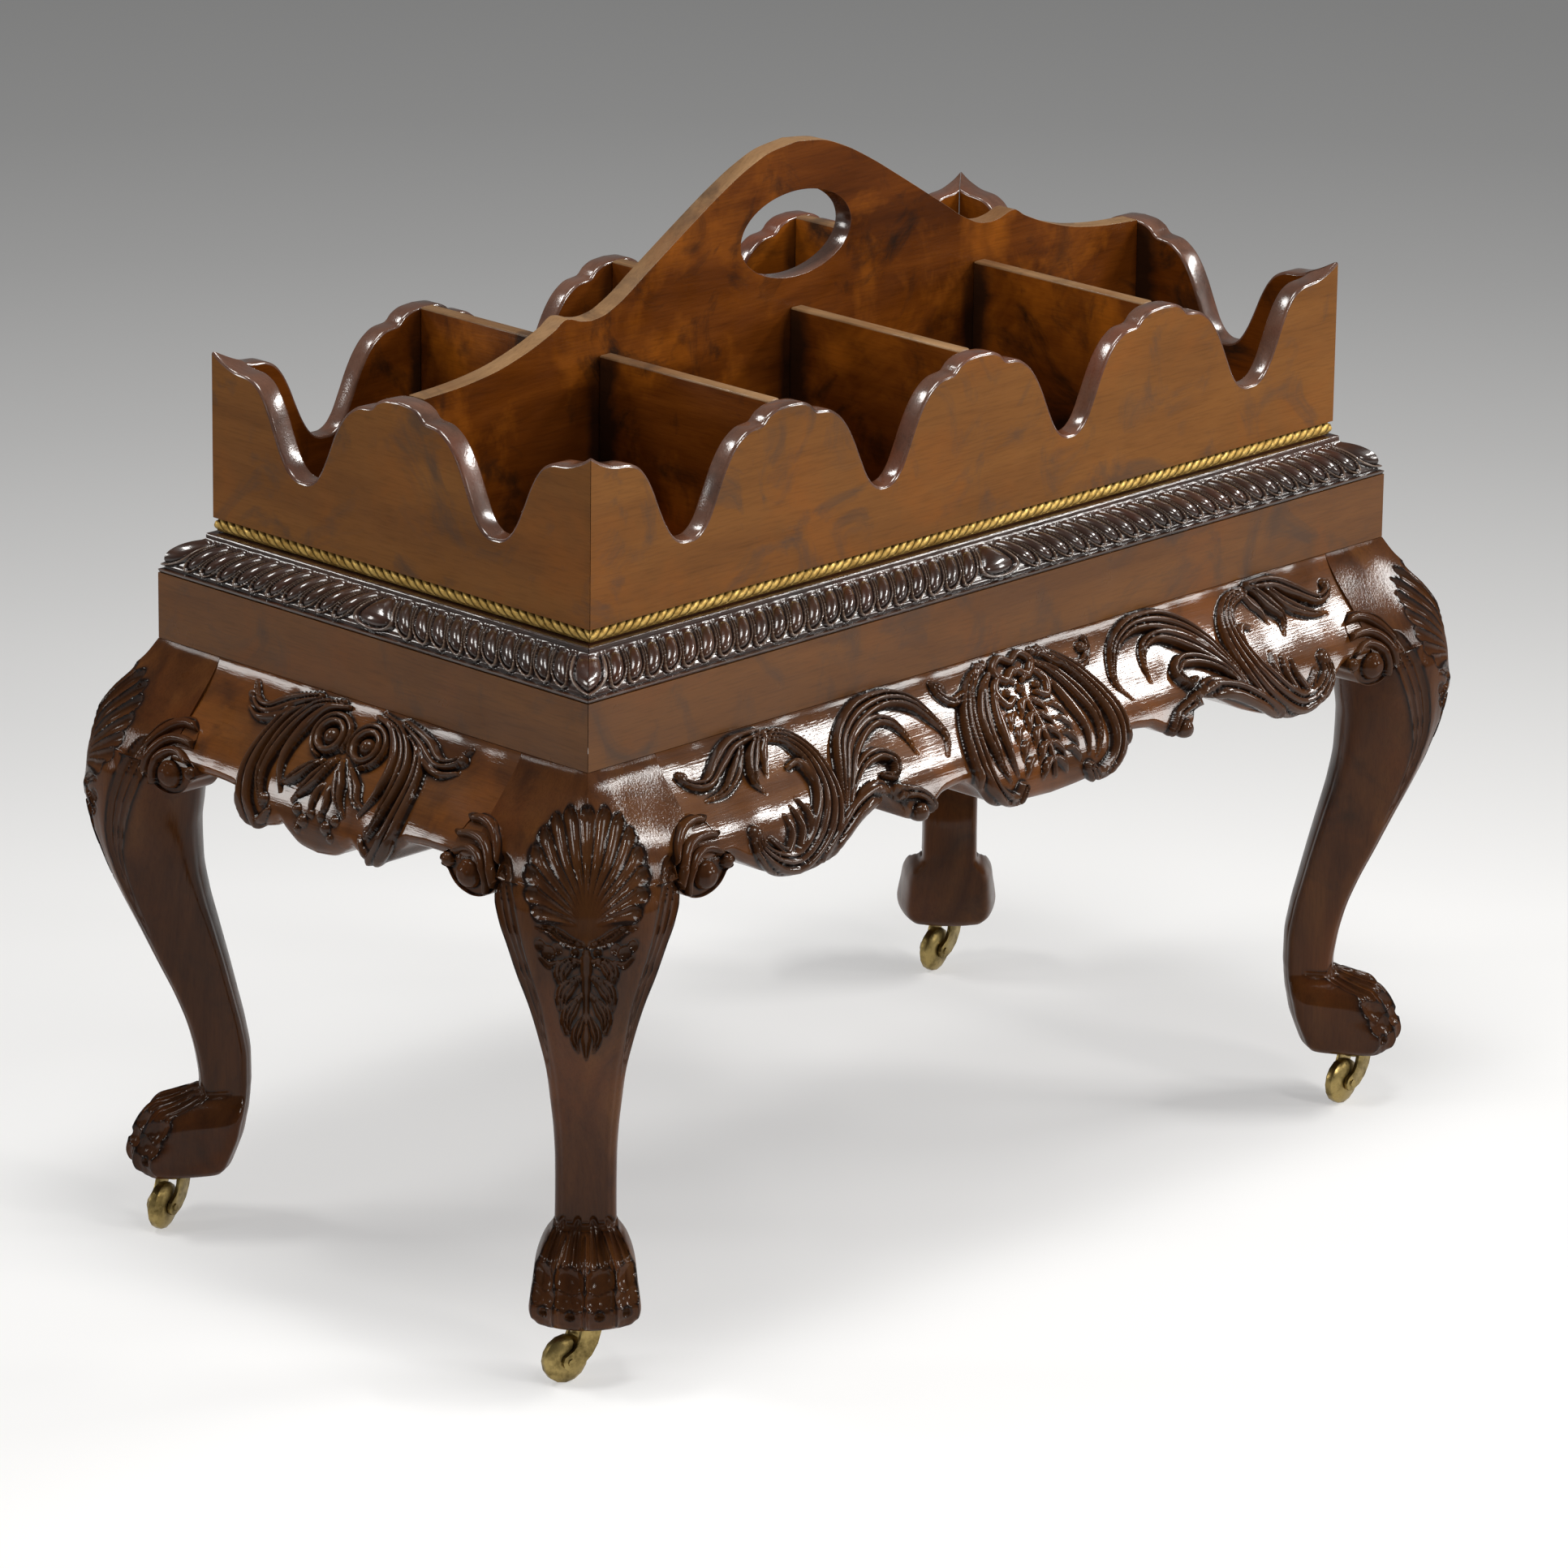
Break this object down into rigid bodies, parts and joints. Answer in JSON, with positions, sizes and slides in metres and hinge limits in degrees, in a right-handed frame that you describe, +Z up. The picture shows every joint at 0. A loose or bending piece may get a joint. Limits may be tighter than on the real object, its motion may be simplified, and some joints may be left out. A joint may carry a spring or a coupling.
{
  "type": "bottle carrier with stand",
  "caption": "Scalloped wooden bottle carrier with divided compartments and an arched hand-hole board, lifting off a carved stand on cabriole legs with swivelling castors.",
  "frame": {"origin": "on the floor under the centre of the stand", "axes": "+X along the long side to the right, +Y to the back, +Z up"},
  "size_m": [0.732, 0.4308, 0.6027],
  "materials": {
    "mahogany": "polished, semi-gloss, worn at the edges",
    "carved_mahogany": "carved, dark and glossy",
    "bead_brass": "twisted rope bead, yellow",
    "castor_brass": "aged, satin"
  },
  "bodies": {
    "stand": {"platform": "carved_mahogany", "gadroon_front": "carved_mahogany", "gadroon_back": "carved_mahogany", "gadroon_left": "carved_mahogany", "gadroon_right": "carved_mahogany", "frieze_front": "mahogany", "frieze_back": "mahogany", "frieze_left": "mahogany", "frieze_right": "mahogany", "corner_block_1": "mahogany", "corner_block_2": "mahogany", "corner_block_3": "mahogany", "corner_block_4": "mahogany", "apron_front": "carved_mahogany", "apron_back": "carved_mahogany", "apron_left": "carved_mahogany", "apron_right": "carved_mahogany", "leg_1": "carved_mahogany", "leg_2": "carved_mahogany", "leg_3": "carved_mahogany", "leg_4": "carved_mahogany", "ear_1_long": "carved_mahogany", "ear_1_end": "carved_mahogany", "ear_2_long": "carved_mahogany", "ear_2_end": "carved_mahogany", "ear_3_long": "carved_mahogany", "ear_3_end": "carved_mahogany", "ear_4_long": "carved_mahogany", "ear_4_end": "carved_mahogany", "castor_plate_1": "castor_brass", "castor_plate_2": "castor_brass", "castor_plate_3": "castor_brass", "castor_plate_4": "castor_brass"},
    "carrier": {"carrier_floor": "mahogany", "front_wall": "mahogany", "back_wall": "mahogany", "left_end": "mahogany", "right_end": "mahogany", "handle_board": "mahogany", "divider_front_1": "mahogany", "divider_front_2": "mahogany", "divider_front_3": "mahogany", "divider_back_1": "mahogany", "divider_back_2": "mahogany", "divider_back_3": "mahogany", "bead_front": "bead_brass", "bead_back": "bead_brass", "bead_left": "bead_brass", "bead_right": "bead_brass"},
    "horn_1": {"castor_horn_1": "castor_brass"},
    "horn_2": {"castor_horn_2": "castor_brass"},
    "horn_3": {"castor_horn_3": "castor_brass"},
    "horn_4": {"castor_horn_4": "castor_brass"},
    "wheel_1": {"castor_wheel_1": "castor_brass"},
    "wheel_2": {"castor_wheel_2": "castor_brass"},
    "wheel_3": {"castor_wheel_3": "castor_brass"},
    "wheel_4": {"castor_wheel_4": "castor_brass"}
  },
  "joints": [
    {"name": "carrier_lift", "type": "slide", "parent": "stand", "child": "carrier", "axis": [0, 0, 1], "range_m": [0, 0.3]},
    {"name": "castor_swivel_1", "type": "hinge", "parent": "stand", "child": "horn_1", "pos_m": [-0.31818, -0.16488, 0.0301], "axis": [0, 0, 1], "continuous": true},
    {"name": "castor_swivel_2", "type": "hinge", "parent": "stand", "child": "horn_2", "pos_m": [0.31818, -0.16488, 0.0301], "axis": [0, 0, 1], "continuous": true},
    {"name": "castor_swivel_3", "type": "hinge", "parent": "stand", "child": "horn_3", "pos_m": [0.31818, 0.16488, 0.0301], "axis": [0, 0, 1], "continuous": true},
    {"name": "castor_swivel_4", "type": "hinge", "parent": "stand", "child": "horn_4", "pos_m": [-0.31818, 0.16488, 0.0301], "axis": [0, 0, 1], "continuous": true},
    {"name": "wheel_roll_1", "type": "hinge", "parent": "horn_1", "child": "wheel_1", "pos_m": [-0.33026, -0.16165, 0.0135], "axis": [-0.2588, -0.9659, 0], "continuous": true},
    {"name": "wheel_roll_2", "type": "hinge", "parent": "horn_2", "child": "wheel_2", "pos_m": [0.30571, -0.16575, 0.0135], "axis": [0.0698, -0.9976, 0], "continuous": true},
    {"name": "wheel_roll_3", "type": "hinge", "parent": "horn_3", "child": "wheel_3", "pos_m": [0.30587, 0.16271, 0.0135], "axis": [0.1736, -0.9848, 0], "continuous": true},
    {"name": "wheel_roll_4", "type": "hinge", "parent": "horn_4", "child": "wheel_4", "pos_m": [-0.33007, 0.16102, 0.0135], "axis": [0.309, -0.9511, 0], "continuous": true}
  ]
}
